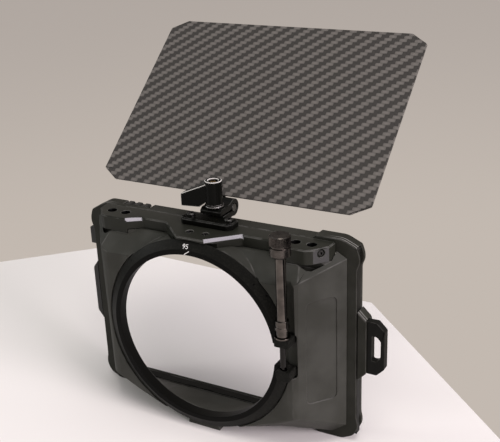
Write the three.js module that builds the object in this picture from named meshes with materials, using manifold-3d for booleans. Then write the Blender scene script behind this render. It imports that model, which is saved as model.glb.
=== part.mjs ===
// Clamp-on matte box with a carbon top flag, a side-loading filter tray and a split clamp collar.
// Millimetres, +Z up. The lens looks along +Y, so the collar faces -Y and the filter tray is at the front.
// The pieces are laid out round the lens axis. One group at the end moves them so that the origin is the
// middle of the rear foot's flat sole.
import * as THREE from 'three';
import { ConvexGeometry } from 'three/addons/geometries/ConvexGeometry.js';
import { mergeVertices } from 'three/addons/utils/BufferGeometryUtils.js';
import Module from 'manifold-3d';

const wasm = await Module();
wasm.setup();

// Fits that all pieces share
const seatGap = 0.3;
const overrun = 2;
const edgeChamfer = 0.6;
const fineSides = 72;
const arcSteps = 3;
const cornerShare = 0.45;
const rodSides = 24;

// Driving dimensions
const boreRadius = 47.5;
const collarWall = 7.5;
const filterHalfWidth = 71.75;
const filterHalfHeight = 50.8;
const frameRear = 26.7;
const frameDepth = 8.3;
const frameWall = 4.35;
const frameRail = 2.7;
const frameOverCollar = 1.5;
const footRise = 1.3;
const flagWidth = 164;
const flagLength = 116;
const flagTilt = 39.6;
const hingeSetback = 3;
const hingeHeight = 4.7;

// Filter tray: a plate frame as thick as the filter that it holds. The front frame is built round it.
const trayClearance = 0.35;
const trayThickness = 4.3;
const trayRear = 28;
const trayRail = 2.9;
const trayEndBar = 9;
const trayStopBar = 4.6;
const filterClearance = 0.3;
const filterLip = 3;
const filterLipThickness = 0.6;
const trayFront = trayRear + trayThickness;
const trayInnerHalfHeight = filterHalfHeight + filterClearance;
const trayInnerHalfWidth = filterHalfWidth + filterClearance;
const trayHalfHeight = trayInnerHalfHeight + trayRail;
const trayLeft = -trayInnerHalfWidth - trayStopBar;

const frameHalfWidth = frameWall - trayLeft;
const collarOuter = boreRadius + collarWall;
const frameHalfHeight = Math.max(trayHalfHeight + frameRail, collarOuter + frameOverCollar);
const frameFront = frameRear + frameDepth;
const axisHeight = frameHalfHeight + footRise;
const hingeY = frameFront + hingeSetback;
const hingeZ = frameHalfHeight + hingeHeight;

// Materials
function material(color, roughness, metalness) {
  return new THREE.MeshStandardMaterial({ color, roughness, metalness });
}
const charcoal = material(0x3d3e3c, 0.62, 0.0);
const collarBlack = material(0x161719, 0.32, 0.6);
const plateBlack = material(0x33332f, 0.45, 0.7);
const leverBlack = material(0x141412, 0.25, 0.8);
const burnished = material(0x57504b, 0.35, 0.9);
const brass = material(0xb09468, 0.35, 1.0);
const screwSteel = material(0x2a2a2a, 0.4, 0.9);
const springSteel = material(0x8c8c8c, 0.35, 1.0);
const carbon = material(0x3a3836, 0.35, 0.1);

// Boolean helpers
function solid(geometry) {
  const bare = new THREE.BufferGeometry();
  bare.setAttribute('position', geometry.getAttribute('position').clone());
  if (geometry.index) bare.setIndex(geometry.index.clone());
  const merged = mergeVertices(bare);
  return new wasm.Manifold(new wasm.Mesh({
    numProp: 3,
    vertProperties: new Float32Array(merged.getAttribute('position').array),
    triVerts: new Uint32Array(merged.index.array),
  }));
}

function join(first, ...others) {
  return others.reduce((body, other) => body.add(other), first);
}

function cut(first, ...others) {
  return others.reduce((body, other) => body.subtract(other), first);
}

function geometryOf(body) {
  const data = body.getMesh();
  const geometry = new THREE.BufferGeometry();
  geometry.setAttribute('position', new THREE.BufferAttribute(new Float32Array(data.vertProperties), 3));
  geometry.setIndex(new THREE.BufferAttribute(new Uint32Array(data.triVerts), 1));
  geometry.computeVertexNormals();
  return geometry;
}

function piece(name, body, finish) {
  const mesh = new THREE.Mesh(geometryOf(body), finish);
  mesh.name = name;
  return mesh;
}

// Shape helpers. Outlines are lists of [across, up] pairs.
const unitX = new THREE.Vector3(1, 0, 0);
const unitY = new THREE.Vector3(0, 1, 0);
const unitZ = new THREE.Vector3(0, 0, 1);

function extruded(points, depth) {
  const shape = new THREE.Shape(points.map(([a, b]) => new THREE.Vector2(a, b)));
  return new THREE.ExtrudeGeometry(shape, { depth, bevelEnabled: false });
}

// Outline in (x, y), standing from bottom to top
function standing(points, bottom, top) {
  return solid(extruded(points, top - bottom).translate(0, 0, bottom));
}

// Outline in (x, z), running from the rear to the front
function facing(points, rear, front) {
  const geometry = extruded(points, front - rear);
  geometry.applyMatrix4(new THREE.Matrix4().makeBasis(unitX, unitZ, unitY.clone().negate()));
  return solid(geometry.translate(0, front, 0));
}

// Outline in (y, z), running from left to right
function sideways(points, left, right) {
  const geometry = extruded(points, right - left);
  geometry.applyMatrix4(new THREE.Matrix4().makeBasis(unitY, unitZ, unitX));
  return solid(geometry.translate(left, 0, 0));
}

function block(left, right, rear, front, bottom, top) {
  const geometry = new THREE.BoxGeometry(right - left, front - rear, top - bottom);
  return solid(geometry.translate((left + right) / 2, (rear + front) / 2, (bottom + top) / 2));
}

function rodZ(x, y, bottom, top, radius, sides = rodSides) {
  const geometry = new THREE.CylinderGeometry(radius, radius, top - bottom, sides);
  return solid(geometry.rotateX(Math.PI / 2).translate(x, y, (bottom + top) / 2));
}

function rodY(x, z, rear, front, radius, sides = rodSides) {
  const geometry = new THREE.CylinderGeometry(radius, radius, front - rear, sides);
  return solid(geometry.translate(x, (rear + front) / 2, z));
}

function rodX(y, z, left, right, radius, sides = rodSides) {
  const geometry = new THREE.CylinderGeometry(radius, radius, right - left, sides);
  return solid(geometry.rotateZ(Math.PI / 2).translate((left + right) / 2, y, z));
}

// Ring round the lens axis from a closed (radius, y) profile
function turned(profile, sides) {
  const points = profile.map(([radius, y]) => new THREE.Vector2(radius, y));
  points.push(points[0].clone());
  return solid(new THREE.LatheGeometry(points, sides));
}

// Turned piece round an upright axis from a (radius, height) profile that starts and ends on the axis
function turnedUp(profile, x, y, sides = rodSides) {
  const points = profile.map(([radius, height]) => new THREE.Vector2(radius, height));
  return solid(new THREE.LatheGeometry(points, sides).rotateX(Math.PI / 2).translate(x, y, 0));
}

function mirrored(points) {
  return points.map(([x, z]) => [-x, z]).reverse();
}

// Each corner of an outline becomes a short arc that starts one radius away from the corner at most
function softened(points, radius, steps = arcSteps) {
  const count = points.length;
  const out = [];
  for (let i = 0; i < count; i += 1) {
    const corner = new THREE.Vector2(...points[i]);
    const before = new THREE.Vector2(...points[(i + count - 1) % count]).sub(corner);
    const after = new THREE.Vector2(...points[(i + 1) % count]).sub(corner);
    const reach = Math.min(radius, before.length() * cornerShare, after.length() * cornerShare);
    const start = corner.clone().add(before.setLength(reach));
    const end = corner.clone().add(after.setLength(reach));
    for (let s = 0; s <= steps; s += 1) {
      const t = s / steps;
      const a = start.clone().lerp(corner, t);
      const b = corner.clone().lerp(end, t);
      out.push(a.lerp(b, t).toArray());
    }
  }
  return out;
}

function rectangle(left, right, bottom, top) {
  return [[left, bottom], [right, bottom], [right, top], [left, top]];
}

// Skin through outlines of equal point counts, each standing at its own y
function loft(sections) {
  const count = sections[0].points.length;
  const positions = [];
  sections.forEach(({ y, points }) => points.forEach(([x, z]) => positions.push(x, y, z)));
  const index = [];
  for (let s = 0; s + 1 < sections.length; s += 1) {
    for (let i = 0; i < count; i += 1) {
      const j = (i + 1) % count;
      const a = s * count + i;
      const b = s * count + j;
      index.push(a, a + count, b, b, a + count, b + count);
    }
  }
  const lid = (points, first, flip) => {
    const flat = points.map(([x, z]) => new THREE.Vector2(x, z));
    THREE.ShapeUtils.triangulateShape(flat, []).forEach(([a, b, c]) => {
      if (flip) index.push(first + a, first + c, first + b);
      else index.push(first + a, first + b, first + c);
    });
  };
  lid(sections[0].points, 0, false);
  lid(sections[sections.length - 1].points, (sections.length - 1) * count, true);
  const geometry = new THREE.BufferGeometry();
  geometry.setAttribute('position', new THREE.BufferAttribute(new Float32Array(positions), 3));
  geometry.setIndex(index);
  return solid(geometry);
}

// Front frame: a flat bumper frame with swollen corners that the tray slides into from the right
const windowLap = 1.25;
const windowRise = 0.5;
const windowRound = 3;
const frameRound = 2;
const bumperReach = 1.5;
const bumperRise = 1.6;
const bumperStart = 23.6;
const bumperLength = 15.6;
const bumperRamp = 1.5;
const bumperDrop = 10.1;
const bumperSideRamp = 3.3;
const bumperShoulderDrop = 2;
const plainCornerRun = 9.7;
const plainCornerDrop = 5.2;
const windowHalfWidth = filterHalfWidth - windowLap;
const windowHalfHeight = filterHalfHeight + windowRise;

function frameOutline() {
  const wide = frameHalfWidth + bumperReach;
  const high = frameHalfHeight + bumperRise;
  const low = -frameHalfHeight - footRise;
  const inner = frameHalfWidth - bumperStart;
  const outer = inner + bumperLength;
  const side = frameHalfHeight - bumperDrop;
  const shoulder = frameHalfHeight - bumperShoulderDrop;
  const topRight = [
    [inner, frameHalfHeight], [inner + bumperRamp, high], [outer, high], [frameHalfWidth, shoulder],
    [wide, side + bumperSideRamp], [wide, side], [frameHalfWidth, side - bumperSideRamp],
  ];
  const lowRight = [
    [frameHalfWidth, -side + bumperSideRamp], [frameHalfWidth + bumperReach / 2, -side],
    [frameHalfWidth + bumperReach / 2, -side - bumperSideRamp], [frameHalfWidth - bumperReach, -shoulder],
    [outer, low], [inner + bumperRamp, low], [inner, -frameHalfHeight],
  ];
  const topLeft = [
    [-frameHalfWidth, side - bumperSideRamp * 2], [-wide, side - bumperSideRamp], [-wide, side],
    [-frameHalfWidth, frameHalfHeight - plainCornerDrop],
    [-frameHalfWidth + plainCornerRun, frameHalfHeight],
  ];
  return [...topRight, ...lowRight, ...mirrored(lowRight), ...topLeft];
}

// Left wall of the frame: a button that frees the tray and a long cap that closes the slot's other end
const buttonBottom = 29.2;
const buttonTop = 39.4;
const buttonReach = 4;
const buttonFlange = 0.9;
const buttonLip = 1.5;
const buttonRear = 28;
const buttonFront = 33;
const buttonPocket = 3;
const springLeaf = 0.3;
const springRiseShare = 0.25;
const capReach = 4;
const capHalfHeight = 19;
const capNoseHalfHeight = 14;
const capRear = 27.2;
const capFront = 34;

// Ribbed lock slide in the frame's top edge, left of the flag
const lockSetback = 20.7;
const lockLength = 15;
const lockPitch = 5.4;
const lockRib = 3.4;
const lockRibRise = 0.7;
const lockRibRound = 1;
const lockTeeth = 3;
const lockRear = 30.2;
const lockPlate = 0.9;
const lockTravel = 2;
const lockFloor = 1.9;
const lockLeft = -frameHalfWidth + lockSetback;

function frontFrame() {
  const outer = facing(softened(frameOutline(), frameRound), frameRear, frameFront);
  const opening = softened(
    rectangle(-windowHalfWidth, windowHalfWidth, -windowHalfHeight, windowHalfHeight), windowRound);
  const window = facing(opening, frameRear - overrun, frameFront + overrun);
  const slotHalf = trayHalfHeight + trayClearance;
  const slot = block(trayLeft - trayClearance, frameHalfWidth + bumperReach + overrun,
    trayRear - trayClearance, trayFront + trayClearance, -slotHalf, slotHalf);
  const wall = -frameHalfWidth - overrun;
  const buttonHole = block(wall, trayLeft, buttonRear - seatGap, buttonFront + seatGap,
    buttonBottom - seatGap, buttonTop + seatGap);
  const buttonRoom = block(trayLeft - buttonPocket, trayLeft, buttonRear - seatGap,
    buttonFront + seatGap, buttonBottom - buttonLip - seatGap, buttonTop + buttonLip + seatGap);
  const lockNotch = block(lockLeft - seatGap, lockLeft + lockLength + lockTravel + seatGap,
    lockRear - seatGap, frameFront + overrun, frameHalfHeight - lockFloor, frameHalfHeight + overrun);
  return cut(outer, window, slot, buttonHole, buttonRoom, lockNotch);
}

function filterTray() {
  const outer = block(trayLeft, frameHalfWidth, trayRear, trayFront, -trayHalfHeight, trayHalfHeight);
  const filter = block(-trayInnerHalfWidth, trayInnerHalfWidth, trayRear - overrun,
    trayFront + overrun, -trayInnerHalfHeight, trayInnerHalfHeight);
  const tongue = facing(handleOutline(), trayRear, trayFront);
  const slot = facing(handleSlot(), trayRear - overrun, trayFront + overrun);
  let tray = cut(join(cut(outer, filter), tongue), slot);
  for (const side of [-1, 1]) {
    for (const level of [-1, 1]) {
      const x = side * trayInnerHalfWidth;
      const z = level * trayInnerHalfHeight;
      const lip = facing(
        [[x, z], [x - side * filterLip, z], [x, z - level * filterLip]].map(([a, b]) => [
          a + (a === x ? side * seatGap : 0), b + (b === z ? level * seatGap : 0)]),
        trayRear, trayRear + filterLipThickness);
      tray = join(tray, lip);
    }
  }
  return tray;
}

// Handle at the tray's right end: a plate loop that passes through a moulded end block
const endBlockReach = 5.3;
const endBlockHalfHeight = 20;
const endBlockNose = 15;
const handleReach = 14.8;
const handleHalfHeight = 15.1;
const handleCorner = 4.3;
const handleSlotInner = 7.8;
const handleSlotOuter = 12.6;
const handleSlotHalf = 7.2;
const handleRound = 0.8;

function handleOutline() {
  const far = frameHalfWidth + handleReach;
  return softened([
    [frameHalfWidth - trayEndBar / 2, -handleHalfHeight],
    [far - handleCorner, -handleHalfHeight],
    [far, -handleHalfHeight + handleCorner],
    [far, handleHalfHeight - handleCorner],
    [far - handleCorner, handleHalfHeight],
    [frameHalfWidth - trayEndBar / 2, handleHalfHeight],
  ], handleRound);
}

function handleSlot() {
  const corner = handleCorner / 2;
  const near = frameHalfWidth + handleSlotInner;
  const far = frameHalfWidth + handleSlotOuter;
  return softened([
    [near, -handleSlotHalf], [far - corner, -handleSlotHalf], [far, -handleSlotHalf + corner],
    [far, handleSlotHalf - corner], [far - corner, handleSlotHalf], [near, handleSlotHalf],
  ], handleRound);
}

function trayEndBlock() {
  const near = frameHalfWidth + seatGap;
  const far = frameHalfWidth + endBlockReach;
  const outline = softened([
    [near, -endBlockHalfHeight], [far, -endBlockNose], [far, endBlockNose], [near, endBlockHalfHeight],
  ], handleRound);
  const body = facing(outline, frameRear, frameFront);
  const tongueRoom = block(frameHalfWidth - overrun, far + overrun, trayRear - seatGap,
    trayFront + seatGap, -handleHalfHeight - seatGap, handleHalfHeight + seatGap);
  return cut(body, tongueRoom);
}

function trayReleaseButton() {
  const face = -frameHalfWidth - buttonReach;
  const flangeRight = trayLeft - buttonPocket + seatGap + buttonFlange;
  const cap = sideways(softened([
    [buttonRear, buttonBottom], [buttonFront, buttonBottom], [buttonFront, buttonTop],
    [buttonRear, buttonTop]], edgeChamfer), face, flangeRight);
  const flange = block(flangeRight - buttonFlange, flangeRight, buttonRear, buttonFront,
    buttonBottom - buttonLip, buttonTop + buttonLip);
  return join(cap, flange);
}

function buttonSpring() {
  const left = trayLeft - buttonPocket + seatGap + buttonFlange + seatGap / 2;
  const bow = left + springLeaf;
  const middle = (buttonBottom + buttonTop) / 2;
  const rise = (buttonTop - buttonBottom) * springRiseShare;
  const outline = [
    [left, middle - rise], [left + springLeaf, middle - rise], [bow + springLeaf, middle],
    [left + springLeaf, middle + rise], [left, middle + rise], [bow, middle]];
  return facing(outline, buttonRear + edgeChamfer, buttonFront - edgeChamfer);
}

function slotCap() {
  const near = -frameHalfWidth - seatGap;
  const far = -frameHalfWidth - capReach;
  return facing(softened([
    [near, capHalfHeight], [far, capNoseHalfHeight], [far, -capNoseHalfHeight], [near, -capHalfHeight],
  ], handleRound), capRear, capFront);
}

function trayLockSlide() {
  const bottom = frameHalfHeight - lockFloor + seatGap;
  let slide = block(lockLeft, lockLeft + lockLength, lockRear, frameFront, bottom, bottom + lockPlate);
  for (let i = 0; i < lockTeeth; i += 1) {
    const left = lockLeft + edgeChamfer + i * lockPitch;
    const top = bottom + lockPlate + lockRibRise;
    const rib = facing(softened(rectangle(left, left + lockRib, bottom, top), lockRibRound),
      lockRear, frameFront);
    slide = join(slide, rib);
  }
  return slide;
}

// Rear housing: a drawn-out pyramid from the front frame to the round collar. Its rear corners are placed
// from the collar and its front corners from the frame's edges, and a brow slopes down behind the plate.
const housingRear = 2.2;
const housingShoulderDepth = 2.2;
const housingEdgeInset = 5.7;
const housingBaseInset = 1.4;
const housingTopDrop = 4.9;
const housingFunnel = 6.7;
const rearTopInset = 13.1;
const rearSide = 3.3;
const rearCrownSide = 4.5;
const rearCrownDrop = 13.7;
const rearSideRise = 18.2;
const rearHeelInset = 12;
const rearHeelRise = 10.4;
const rearBaseHalf = 24;
const rearBaseRise = 3.8;
const frontTopInset = 10;
const frontCrownInset = 4.8;
const frontCrownDrop = 8;
const frontSideInset = 5.1;
const frontSideRise = 8.2;
const frontHeelInset = 13;
const frontHeelRise = 2.2;
const frontBaseInset = 31;
const frontBaseRise = 0.3;
const browDrop = 12.4;
const browDepth = 11.4;
const browLedge = 1.9;
const browLedgeDrop = 1.3;
const shoulderDepthShare = 0.25;
const shoulderInsetShare = 0.45;
const recessDepth = 0.4;
const recessHalfHeight = 29.4;
const recessNear = 5;
const recessFar = 5.8;
const recessRound = 3;

// Collar: a split ring with a flange, a neck that sits in the housing and two lugs
const collarLand = 2.8;
const collarConeDepth = 2.7;
const collarFlange = 3.4;
const collarNeckWall = 4.8;
const collarDepth = 6.4;
const collarLead = 0.7;
const collarGroove = 0.5;
const splitTop = 8;
const splitBottom = -4.5;
const lugRear = -3;
const lugFront = 5.7;
const lugStart = 1.5;
const upperLugReach = 9.6;
const upperLugTop = 12.6;
const lowerLugReach = 10;
const lowerLugBottom = -11.3;
const lugRound = 2.2;
const lugRoom = 0.8;
const shankRadius = 1.6;
const clampScrewReach = 5.3;
const clampScrewY = -0.6;
const screwGrooveReach = 4.6;
const screwGrooveBack = 1.3;
const screwGrooveTop = 2.2;
const screwGrooveDepth = 2.6;
const screwGrooveSlope = 4;
const collarFlat = boreRadius + collarLand;
const collarNeck = boreRadius + collarNeckWall;
const lugInner = boreRadius + lugStart;
const upperLugOuter = boreRadius + upperLugReach;
const lowerLugOuter = boreRadius + lowerLugReach;
const clampScrewX = boreRadius + clampScrewReach;

function housingRearCorners() {
  return {
    top: [collarOuter - rearTopInset, frameHalfHeight - housingTopDrop],
    crown: [collarOuter + rearCrownSide, collarOuter - rearCrownDrop],
    side: [collarOuter + rearSide, -collarOuter + rearSideRise],
    heel: [collarOuter - rearHeelInset, -collarOuter + rearHeelRise],
    base: [rearBaseHalf, -collarOuter + rearBaseRise],
  };
}

function housingFrontCorners() {
  return {
    top: [frameHalfWidth - frontTopInset, frameHalfHeight - housingTopDrop],
    crown: [frameHalfWidth - frontCrownInset, frameHalfHeight - frontCrownDrop],
    side: [frameHalfWidth - frontSideInset, -frameHalfHeight + frontSideRise],
    heel: [frameHalfWidth - frontHeelInset, -frameHalfHeight + frontHeelRise],
    base: [frameHalfWidth - frontBaseInset, -frameHalfHeight + frontBaseRise],
  };
}

function housingSection(y, corners, sideInset, baseInset) {
  const { top, crown, side, heel, base } = corners;
  const right = [
    [top[0] - sideInset, top[1]], [crown[0] - sideInset, crown[1]], [side[0] - sideInset, side[1]],
    [heel[0] - sideInset / 2, heel[1] + sideInset / 2], [base[0], base[1] + baseInset],
  ];
  return { y, points: [...right, ...mirrored(right)].reverse() };
}

// Height of the housing's lowest edge at a distance along the lens axis
function housingBase(y) {
  const [, rear] = housingRearCorners().base;
  const [, front] = housingFrontCorners().base;
  const start = housingRear + housingShoulderDepth;
  return rear + (front - rear) * (y - start) / (frameRear - seatGap - start);
}

function ellipseOrWindow(share, y) {
  const points = [];
  const high = windowHalfHeight;
  const wide = windowHalfWidth;
  const corner = Math.atan2(high, wide);
  const angles = [corner, Math.PI - corner, Math.PI + corner, 2 * Math.PI - corner];
  for (let i = 0; i < fineSides; i += 1) angles.push((i / fineSides) * 2 * Math.PI);
  angles.sort((a, b) => a - b);
  angles.forEach((angle) => {
    const c = Math.cos(angle);
    const s = Math.sin(angle);
    const reach = Math.min(wide / Math.abs(c), high / Math.abs(s));
    const bore = boreRadius + collarLead;
    const radius = bore + (reach - bore) * share;
    points.push([radius * c, radius * s]);
  });
  return { y, points };
}

// Shallow panel in a slanted side, laid out from the side's rear edge along its slope
function panelRecess(side) {
  const rearX = housingRearCorners().side[0];
  const frontX = housingFrontCorners().side[0];
  const rear = new THREE.Vector3(side * rearX, housingRear + housingShoulderDepth, 0);
  const slope = new THREE.Vector3(side * frontX, frameRear - seatGap, 0).sub(rear);
  const far = slope.length() - recessFar;
  const along = slope.normalize().multiplyScalar(side);
  const outward = along.clone().cross(unitZ);
  const outline = rectangle(recessNear, far, -recessHalfHeight, recessHalfHeight);
  const geometry = extruded(softened(outline.map(([a, z]) => [side * a, z]), recessRound), overrun);
  geometry.translate(0, 0, -recessDepth).applyMatrix4(new THREE.Matrix4().makeBasis(along, unitZ, outward));
  return solid(geometry.translate(rear.x, rear.y, rear.z));
}

// What the sloping brow takes away behind the plate, clear of the plate's bed and of the rim round the neck
function brow() {
  const top = frameHalfHeight - housingTopDrop;
  const end = housingRear + browDepth + browLedge;
  const run = (browDrop - browLedgeDrop) / browDepth * overrun;
  const wedge = sideways([
    [housingRear - overrun, top - browDrop - run], [housingRear + browDepth, top - browLedgeDrop],
    [end, top - browLedgeDrop], [end, top + overrun], [housingRear - overrun, top + overrun],
  ], -frameHalfWidth, frameHalfWidth);
  const bed = standing(plateOutline(0), top - browDrop - overrun, top + overrun);
  const rim = rodY(0, 0, housingRear, end, collarOuter, fineSides);
  return cut(wedge, bed, rim);
}

// Pocket that an end block of the plate stands in, deeper at its rear where the block's edge shows
function blockPocket(side) {
  const seat = standing(blockOutline(side, seatGap), plateSkirt - seatGap, plateTop + overrun);
  const deep = standing(blockOutline(side, -edgeChamfer), plateSkirt - pocketDrop, plateSkirt);
  const rear = block(-frameHalfWidth, frameHalfWidth, 0, plateBlockRear + pocketLength,
    plateSkirt - pocketDrop - overrun, plateSkirt + overrun);
  return join(seat, deep.intersect(rear));
}

function rearHousing() {
  const front = frameRear - seatGap;
  const rearCorners = housingRearCorners();
  const step = housingShoulderDepth * shoulderDepthShare;
  const body = loft([
    housingSection(housingRear, rearCorners, housingEdgeInset, housingBaseInset),
    housingSection(housingRear + step, rearCorners, housingEdgeInset * shoulderInsetShare,
      housingBaseInset * shoulderInsetShare),
    housingSection(housingRear + housingShoulderDepth, rearCorners, 0, 0),
    housingSection(front, housingFrontCorners(), 0, 0),
  ]);
  const slope = overrun / (front - housingFunnel);
  const funnel = loft([
    ellipseOrWindow(0, housingFunnel),
    ellipseOrWindow(1, front),
    ellipseOrWindow(1 + slope, front + overrun),
  ]);
  const collarWell = rodY(0, 0, housingRear - overrun, collarFlange + seatGap,
    collarOuter + collarGroove, fineSides);
  const neckWell = rodY(0, 0, housingRear - overrun, housingFunnel, collarNeck + seatGap, fineSides);
  const lightPath = rodY(0, 0, housingRear, housingFunnel + overrun, boreRadius + collarLead, fineSides);
  const lugWell = facing(softened(rectangle(lugInner - lugRoom, lowerLugOuter + lugRoom,
    lowerLugBottom - lugRoom, upperLugTop + lugRoom), lugRound), housingRear - overrun, lugFront + seatGap);
  const grooveFar = clampScrewX + screwGrooveReach;
  const grooveNear = clampScrewX - screwGrooveBack;
  const grooveTop = rearCorners.crown[1] + screwGrooveTop;
  const grooveOutline = [
    [grooveNear, upperLugTop], [grooveFar, upperLugTop], [grooveFar, grooveTop - screwGrooveSlope],
    [grooveFar - screwGrooveSlope, grooveTop], [grooveNear, grooveTop],
  ];
  const groove = facing(grooveOutline, housingRear - overrun, housingRear + screwGrooveDepth);
  const bed = standing(plateOutline(-seatGap), plateUnderside - seatGap, plateTop + overrun);
  const pockets = [1, -1].map(blockPocket);
  const recesses = [1, -1].map(panelRecess);
  const wells = join(collarWell, neckWell, lightPath, lugWell, groove, screwRoom());
  return cut(body, funnel, wells, brow(), bed, ...pockets, ...recesses);
}

function clampCollar() {
  const ring = turned([
    [boreRadius, 0], [collarFlat, 0], [collarOuter, collarConeDepth], [collarOuter, collarFlange],
    [collarNeck, collarFlange], [collarNeck, collarDepth], [boreRadius + collarLead, collarDepth],
    [boreRadius, collarDepth - collarLead],
  ], fineSides * 2);
  const upper = facing(softened([
    [lugInner, splitTop], [upperLugOuter, splitTop], [upperLugOuter, upperLugTop],
    [lugInner, upperLugTop]], edgeChamfer), lugRear, lugFront);
  const lower = facing([
    ...softened([
      [lugInner, lowerLugBottom], [lowerLugOuter, lowerLugBottom], [lowerLugOuter, splitBottom],
    ], lugRound).slice(2), [lugInner + lugRound, splitBottom], [lugInner, splitBottom - lugRound]],
  lugRear, lugFront);
  const split = block(boreRadius - overrun, collarOuter + overrun, lugRear - overrun,
    collarDepth + overrun, splitBottom, splitTop);
  const bore = rodY(0, 0, lugRear - overrun, collarDepth - collarLead, boreRadius, fineSides * 2);
  const hole = rodZ(clampScrewX, clampScrewY, lowerLugBottom - overrun, upperLugTop + overrun,
    shankRadius + seatGap);
  return cut(join(cut(ring, split), upper, lower), bore, hole, screwRoom());
}

// Room for the washer and the thrust collars above the upper lug
function screwRoom() {
  return rodZ(clampScrewX, clampScrewY, upperLugTop, stemBottom + seatGap, washerRadius + seatGap);
}

// Clamp screw: a long thumb screw that draws the lugs together
const knobBottom = 57.2;
const knobHeight = 11.2;
const knobRadius = 5.35;
const knobFlutes = 22;
const knobFluteDepth = 0.45;
const knobGripHeight = 5;
const knobGrooveHeight = 1.1;
const knobLead = 1;
const stemRadius = 2.65;
const stemBottom = 22.7;
const sleeveRadius = 3.4;
const sleeveBottom = 19.4;
const thrustRadius = 3.7;
const thrustBottom = 17.4;
const bushRadius = 3.1;
const washerRadius = 4;
const washerThickness = 0.8;
const screwBore = 1.9;
const screwInKnob = 6;

function clampScrew() {
  const washerTop = upperLugTop + seatGap + washerThickness;
  return turnedUp([
    [0, lowerLugBottom], [shankRadius - seatGap, lowerLugBottom], [shankRadius, lowerLugBottom + seatGap],
    [shankRadius, washerTop + seatGap], [bushRadius, washerTop + seatGap], [bushRadius, thrustBottom],
    [thrustRadius, thrustBottom], [thrustRadius, sleeveBottom], [sleeveRadius, sleeveBottom],
    [sleeveRadius, stemBottom], [stemRadius, stemBottom], [stemRadius, knobBottom - seatGap],
    [screwBore, knobBottom - seatGap], [screwBore, knobBottom + screwInKnob],
    [0, knobBottom + screwInKnob],
  ], clampScrewX, clampScrewY);
}

function screwKnob() {
  const top = knobBottom + knobHeight;
  const grip = top - knobGripHeight;
  const neck = knobRadius - 2 * knobFluteDepth;
  const skirt = turnedUp([
    [0, knobBottom], [knobRadius - knobLead, knobBottom], [knobRadius, knobBottom + knobLead],
    [knobRadius, grip - knobGrooveHeight], [neck, grip - knobGrooveHeight],
    [neck, top], [0, top],
  ], clampScrewX, clampScrewY, rodSides * 2);
  const flutes = [];
  for (let i = 0; i < knobFlutes * 2; i += 1) {
    const angle = (i / knobFlutes) * Math.PI;
    const radius = i % 2 ? knobRadius : knobRadius - knobFluteDepth;
    flutes.push([clampScrewX + radius * Math.cos(angle), clampScrewY + radius * Math.sin(angle)]);
  }
  const band = standing(flutes, grip, top - knobLead / 2);
  const bore = rodZ(clampScrewX, clampScrewY, knobBottom - overrun, knobBottom + screwInKnob + seatGap,
    screwBore + seatGap);
  return cut(join(skirt, band), bore);
}

function clampWasher() {
  const bottom = upperLugTop + seatGap;
  return cut(rodZ(clampScrewX, clampScrewY, bottom, bottom + washerThickness, washerRadius),
    rodZ(clampScrewX, clampScrewY, bottom - overrun, bottom + overrun, shankRadius + seatGap));
}

// Top plate: a metal bridge with a skirted block at each end and an arch over the collar
const plateThickness = 5.9;
const plateSkirtDrop = 2;
const plateBlockInset = 19;
const plateBlockLength = 16.6;
const plateBlockRear = 10.5;
const plateCornerCut = 1.6;
const plateChamferInset = 11.5;
const plateChamferY = 20;
const plateEndInset = 11;
const plateRunStep = 7.4;
const plateRunLength = 15;
const plateRunY = 15.5;
const plateTongue = 7.7;
const plateTongueY = 1.2;
const plateRound = 1;
const plateEdge = 0.5;
const plateRampRise = 0.4;
const plateRampWidth = 3.6;
const pocketDrop = 4.5;
const pocketLength = 7.5;
const accessoryInset = 29.5;
const accessoryPitch = 8.9;
const accessoryHoleY = 19;
const accessoryHoleRadius = 2.6;
const plateScrewX = 4.6;
const plateScrewY = 9.6;
const plateScrewHead = 1.7;
const plateScrewShank = 0.9;
const plateScrewRecess = 0.9;
const cornerScrewDrop = 2.7;
const cornerScrewPlaceShare = 0.61;
const cornerScrewHead = 1.7;
const cornerScrewShank = 1.1;
const cornerScrewSocket = 0.9;
const cornerScrewLength = 3;

const plateTop = frameHalfHeight;
const plateUnderside = plateTop - plateThickness;
const plateSkirt = plateUnderside - plateSkirtDrop;
const plateEndX = frameHalfWidth - plateEndInset;
const plateChamferX = frameHalfWidth - plateChamferInset;
const plateBlockOuter = frameHalfWidth - plateBlockInset;
const plateBlockInner = plateBlockOuter - plateBlockLength;
const plateRunOuter = plateBlockInner - plateRunStep;
const plateRunInner = plateRunOuter - plateRunLength;

// One end block with its slanted corner face, from its inner side out to the plate's end
function blockOutline(side, margin) {
  const front = frameRear - seatGap + margin;
  const right = [
    [plateBlockInner - margin, plateBlockRear - margin],
    [plateBlockOuter - plateCornerCut, plateBlockRear - margin],
    [plateBlockOuter + plateCornerCut + margin, plateBlockRear + plateCornerCut * chamferSlope()],
    [plateChamferX + margin, plateChamferY], [plateEndX + margin, front], [plateBlockInner - margin, front],
  ];
  return side > 0 ? right : mirrored(right);
}

// Run of the slanted corner face along the lens axis for each millimetre across
function chamferSlope() {
  return (plateChamferY - plateBlockRear) / (plateChamferX - plateBlockOuter);
}

function plateOutline(inset) {
  const front = frameRear - seatGap;
  const right = [
    [plateEndX - inset, front], [plateChamferX - inset, plateChamferY + inset],
    [plateBlockOuter + plateCornerCut - inset, plateBlockRear + plateCornerCut * chamferSlope() + inset],
    [plateBlockOuter - plateCornerCut, plateBlockRear + inset], [plateBlockInner, plateBlockRear + inset],
    [plateRunOuter, plateRunY + inset], [plateRunInner, plateRunY + inset],
    [plateTongue, plateTongueY + inset],
  ];
  return [...right, ...mirrored(right)];
}

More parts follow.
